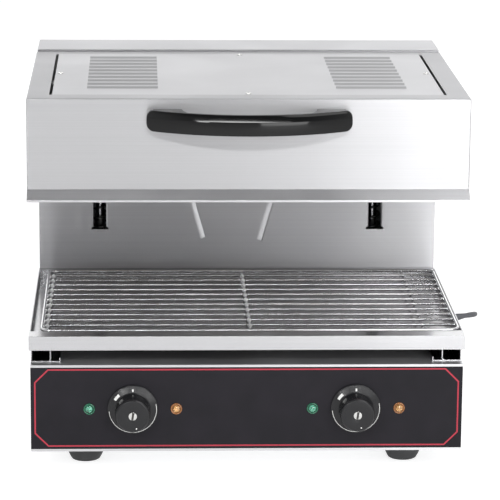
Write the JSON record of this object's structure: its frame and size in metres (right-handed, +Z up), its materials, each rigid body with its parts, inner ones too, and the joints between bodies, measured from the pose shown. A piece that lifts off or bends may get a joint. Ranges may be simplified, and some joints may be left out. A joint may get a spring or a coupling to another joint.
{
  "type": "lift salamander grill",
  "caption": "Countertop electric salamander whose heated hood slides on a rear column over a wire grid and pull-out drip tray, with knobs and pilot lamps on a black fascia.",
  "frame": {"origin": "on the worktop under the middle of the appliance, which is the middle of its box in plan, between the handle's front and the rear screw heads", "axes": "+X to the user's right, -Y towards the user (handle, knobs and tray front), +Z up"},
  "size_m": [0.6819, 0.6519, 0.532],
  "materials": {
    "brushed_steel": "brushed stainless steel",
    "galvanised_steel": "galvanised sheet",
    "zinc_steel": "zinc plated",
    "black_fascia": "smooth semi-gloss black print with a red line",
    "foot_rubber": "moulded, matte",
    "knob_plastic": "satin black",
    "green_lens": "translucent green",
    "amber_lens": "translucent amber",
    "terminal_plastic": "plain off-white",
    "gland_plastic": "satin black",
    "cord_rubber": "dull grey-black",
    "chromed_wire": "bright plated wire",
    "ground_rod": "ground and plated",
    "spring_steel": "oiled spring wire",
    "painted_steel": "dark grey stove enamel",
    "cast_aluminium": "as machined",
    "bush_bronze": "plain bronze",
    "reflector_sheet": "bright annealed sheet",
    "element_sheath": "oxidised alloy sheath",
    "handle_plastic": "gloss black"
  },
  "bodies": {
    "base": {"base_shell": "brushed_steel", "bottom_plate": "galvanised_steel", "bottom_screws": "zinc_steel", "control_panel": "black_fascia", "foot_front_left": "foot_rubber", "foot_front_right": "foot_rubber", "foot_rear_left": "foot_rubber", "foot_rear_right": "foot_rubber", "foot_bolts": "zinc_steel", "thermostat_left": "zinc_steel", "thermostat_right": "zinc_steel", "thermostat_nuts": "zinc_steel", "lamp_green_left": "green_lens", "lamp_amber_left": "amber_lens", "lamp_green_right": "green_lens", "lamp_amber_right": "amber_lens", "terminal_block": "terminal_plastic", "cable_gland": "gland_plastic", "mains_cord": "cord_rubber", "cord_coil": "cord_rubber", "mains_plug": "cord_rubber", "runner_left": "brushed_steel", "runner_right": "brushed_steel", "column_side_left": "brushed_steel", "column_side_right": "brushed_steel", "column_panel": "brushed_steel", "column_top": "brushed_steel", "rear_cover": "galvanised_steel", "rear_screws": "zinc_steel", "lower_bracket": "galvanised_steel", "upper_bracket": "galvanised_steel", "guide_rod_left": "ground_rod", "guide_rod_right": "ground_rod", "spring_left": "spring_steel", "spring_right": "spring_steel"},
    "hood": {"hood_shell": "brushed_steel", "hood_rim": "brushed_steel", "vent_cover": "brushed_steel", "cover_screws": "zinc_steel", "reflector": "reflector_sheet", "element_left": "element_sheath", "element_right": "element_sheath", "element_hangers": "zinc_steel", "sensor_bulbs": "bush_bronze", "hood_handle": "handle_plastic", "handle_screws": "zinc_steel", "arm_left": "painted_steel", "arm_right": "painted_steel", "carriage_left": "cast_aluminium", "carriage_right": "cast_aluminium", "carriage_bushes": "bush_bronze"},
    "knob_left": {"knob_left": "knob_plastic", "spindle_left": "zinc_steel", "knob_screw_left": "zinc_steel"},
    "knob_right": {"knob_right": "knob_plastic", "spindle_right": "zinc_steel", "knob_screw_right": "zinc_steel"},
    "tray": {"drip_tray": "brushed_steel"},
    "grid": {"wire_grid": "chromed_wire", "grid_frame": "chromed_wire"}
  },
  "joints": [
    {"name": "hood_lift", "type": "slide", "parent": "base", "child": "hood", "axis": [0, 0, 1], "range_m": [-0.145, 0], "deforming": ["spring_left", "spring_right"]},
    {"name": "knob_left_turn", "type": "hinge", "parent": "base", "child": "knob_left", "pos_m": [-0.1575, -0.2389, 0.095], "axis": [0, 1, 0], "range_deg": [0, 240]},
    {"name": "knob_right_turn", "type": "hinge", "parent": "base", "child": "knob_right", "pos_m": [0.1505, -0.2389, 0.095], "axis": [0, 1, 0], "range_deg": [0, 240]},
    {"name": "tray_pull", "type": "slide", "parent": "base", "child": "tray", "axis": [0, -1, 0], "range_m": [0, 0.3]},
    {"name": "grid_lift", "type": "slide", "parent": "tray", "child": "grid", "axis": [0, 0, 1], "range_m": [0, 0.04]}
  ]
}
